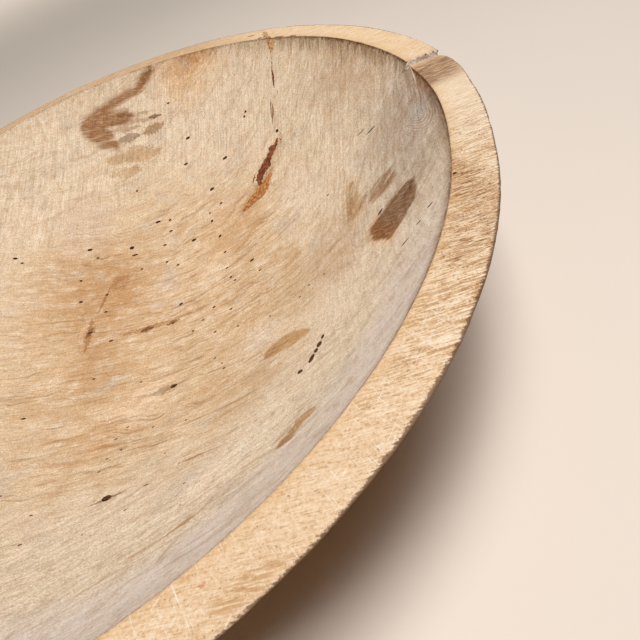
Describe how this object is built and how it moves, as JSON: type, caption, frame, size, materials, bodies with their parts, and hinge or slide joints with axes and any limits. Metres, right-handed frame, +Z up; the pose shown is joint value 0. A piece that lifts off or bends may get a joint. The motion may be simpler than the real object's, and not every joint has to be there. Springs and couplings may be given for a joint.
{
  "type": "dough bowl",
  "caption": "Round turned wooden dough bowl with a flat rim, ball-shaped hollow and flat foot, with a cracked rim and old filler in a split of its wall.",
  "frame": {"origin": "middle of the flat foot, on the surface that the bowl stands on", "axes": "+Z up along the turning axis, +X along the grain of the wood, towards the cracked end-grain side"},
  "size_m": [0.4599, 0.46, 0.128],
  "materials": {
    "bowl_wood": "dry, worn bare wood",
    "grey_filler": "dull hardened paste",
    "orange_filler": "dull hardened resin",
    "brown_filler": "satin hardened resin",
    "amber_filler": "satin hardened resin"
  },
  "bodies": {
    "root": {"bowl_body": "bowl_wood", "rim_crack_filler": "grey_filler", "split_filler_rim": "orange_filler", "split_streak_upper": "brown_filler", "split_streak_middle": "brown_filler", "split_filler_dark": "brown_filler", "split_filler_amber": "amber_filler"}
  },
  "joints": []
}
